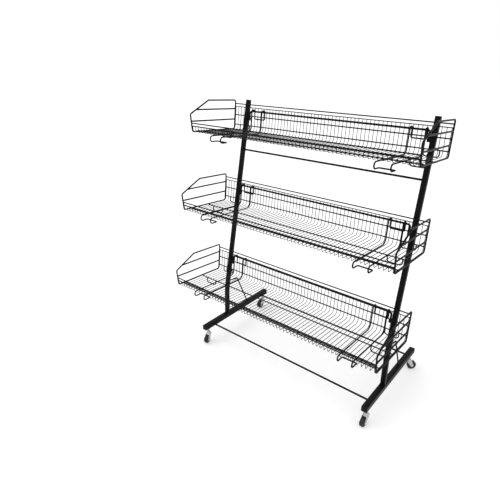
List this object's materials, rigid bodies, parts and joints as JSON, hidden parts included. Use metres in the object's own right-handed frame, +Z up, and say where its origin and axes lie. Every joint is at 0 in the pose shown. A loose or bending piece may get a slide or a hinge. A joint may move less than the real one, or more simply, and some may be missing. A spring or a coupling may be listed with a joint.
{
  "type": "three-tier wire snack display stand",
  "caption": "Leaning two-post floor stand on swivel casters with long open-topped wire baskets that hook over cross rails and lift off.",
  "frame": {"origin": "on the floor, under the middle of the stand's overall box", "axes": "+Z up, X along the baskets with +X at the shopper's right, -Y towards the shopper"},
  "size_m": [1.212, 0.7504, 1.4329],
  "materials": {
    "powder_coat": "near-black powder coat on steel wire and tube, low sheen",
    "plug": "moulded black plastic end plug",
    "zinc": "bright zinc-plated pressed steel",
    "wheel": "black moulded wheel with a plain tread"
  },
  "bodies": {
    "stand": {"base_tube_left": "powder_coat", "base_tube_right": "powder_coat", "base_cap_front_left": "plug", "base_cap_rear_left": "plug", "base_cap_front_right": "plug", "base_cap_rear_right": "plug", "upright_left": "powder_coat", "upright_right": "powder_coat", "top_cap_left": "plug", "top_cap_right": "plug", "brace_left": "powder_coat", "brace_right": "powder_coat", "hanging_rail_bottom": "powder_coat", "hanging_rail_middle": "powder_coat", "hanging_rail_top": "powder_coat", "rail_socket_bottom_left": "powder_coat", "rail_socket_bottom_right": "powder_coat", "rail_socket_middle_left": "powder_coat", "rail_socket_middle_right": "powder_coat", "rail_socket_top_left": "powder_coat", "rail_socket_top_right": "powder_coat", "upper_crossbar": "powder_coat", "lower_bar_front": "powder_coat", "lower_bar_rear": "powder_coat", "caster_stem_front_left": "zinc", "caster_lock_nut_front_left": "zinc", "caster_weld_nut_front_left": "zinc", "caster_stem_front_right": "zinc", "caster_lock_nut_front_right": "zinc", "caster_weld_nut_front_right": "zinc", "caster_stem_rear_left": "zinc", "caster_lock_nut_rear_left": "zinc", "caster_weld_nut_rear_left": "zinc", "caster_stem_rear_right": "zinc", "caster_lock_nut_rear_right": "zinc", "caster_weld_nut_rear_right": "zinc"},
    "fork_front_left": {"caster_fork_front_left": "zinc", "caster_axle_front_left": "zinc"},
    "wheel_front_left": {"caster_wheel_front_left": "wheel"},
    "fork_front_right": {"caster_fork_front_right": "zinc", "caster_axle_front_right": "zinc"},
    "wheel_front_right": {"caster_wheel_front_right": "wheel"},
    "fork_rear_left": {"caster_fork_rear_left": "zinc", "caster_axle_rear_left": "zinc"},
    "wheel_rear_left": {"caster_wheel_rear_left": "wheel"},
    "fork_rear_right": {"caster_fork_rear_right": "zinc", "caster_axle_rear_right": "zinc"},
    "wheel_rear_right": {"caster_wheel_rear_right": "wheel"},
    "basket_bottom": {"basket_frame_bottom": "powder_coat", "basket_wires_bottom": "powder_coat", "hanger_left_bottom": "powder_coat", "hanger_right_bottom": "powder_coat"},
    "basket_middle": {"basket_frame_middle": "powder_coat", "basket_wires_middle": "powder_coat", "hanger_left_middle": "powder_coat", "hanger_right_middle": "powder_coat"},
    "basket_top": {"basket_frame_top": "powder_coat", "basket_wires_top": "powder_coat", "hanger_left_top": "powder_coat", "hanger_right_top": "powder_coat"}
  },
  "joints": [
    {"name": "swivel_front_left", "type": "hinge", "parent": "stand", "child": "fork_front_left", "pos_m": [-0.5227, -0.20183, 0.06], "axis": [0, 0, 1], "continuous": true},
    {"name": "spin_front_left", "type": "hinge", "parent": "fork_front_left", "child": "wheel_front_left", "pos_m": [-0.51843, -0.22035, 0.025], "axis": [-0.9744, -0.225, 0], "continuous": true},
    {"name": "swivel_front_right", "type": "hinge", "parent": "stand", "child": "fork_front_right", "pos_m": [0.5227, -0.20183, 0.06], "axis": [0, 0, 1], "continuous": true},
    {"name": "spin_front_right", "type": "hinge", "parent": "fork_front_right", "child": "wheel_front_right", "pos_m": [0.52137, -0.22079, 0.025], "axis": [-0.9976, 0.0698, 0], "continuous": true},
    {"name": "swivel_rear_left", "type": "hinge", "parent": "stand", "child": "fork_rear_left", "pos_m": [-0.5227, 0.33917, 0.06], "axis": [0, 0, 1], "continuous": true},
    {"name": "spin_rear_left", "type": "hinge", "parent": "fork_rear_left", "child": "wheel_rear_left", "pos_m": [-0.52567, 0.3204, 0.025], "axis": [-0.9877, 0.1564, 0], "continuous": true},
    {"name": "swivel_rear_right", "type": "hinge", "parent": "stand", "child": "fork_rear_right", "pos_m": [0.5227, 0.33917, 0.06], "axis": [0, 0, 1], "continuous": true},
    {"name": "spin_rear_right", "type": "hinge", "parent": "fork_rear_right", "child": "wheel_rear_right", "pos_m": [0.53614, 0.3526, 0.025], "axis": [0.7071, -0.7071, 0], "continuous": true},
    {"name": "lift_bottom", "type": "slide", "parent": "stand", "child": "basket_bottom", "axis": [0, 0.0652, 0.9979], "range_m": [0, 0.06]},
    {"name": "lift_middle", "type": "slide", "parent": "stand", "child": "basket_middle", "axis": [0, 0.0652, 0.9979], "range_m": [0, 0.06]},
    {"name": "lift_top", "type": "slide", "parent": "stand", "child": "basket_top", "axis": [0, 0.0652, 0.9979], "range_m": [0, 0.06]}
  ]
}
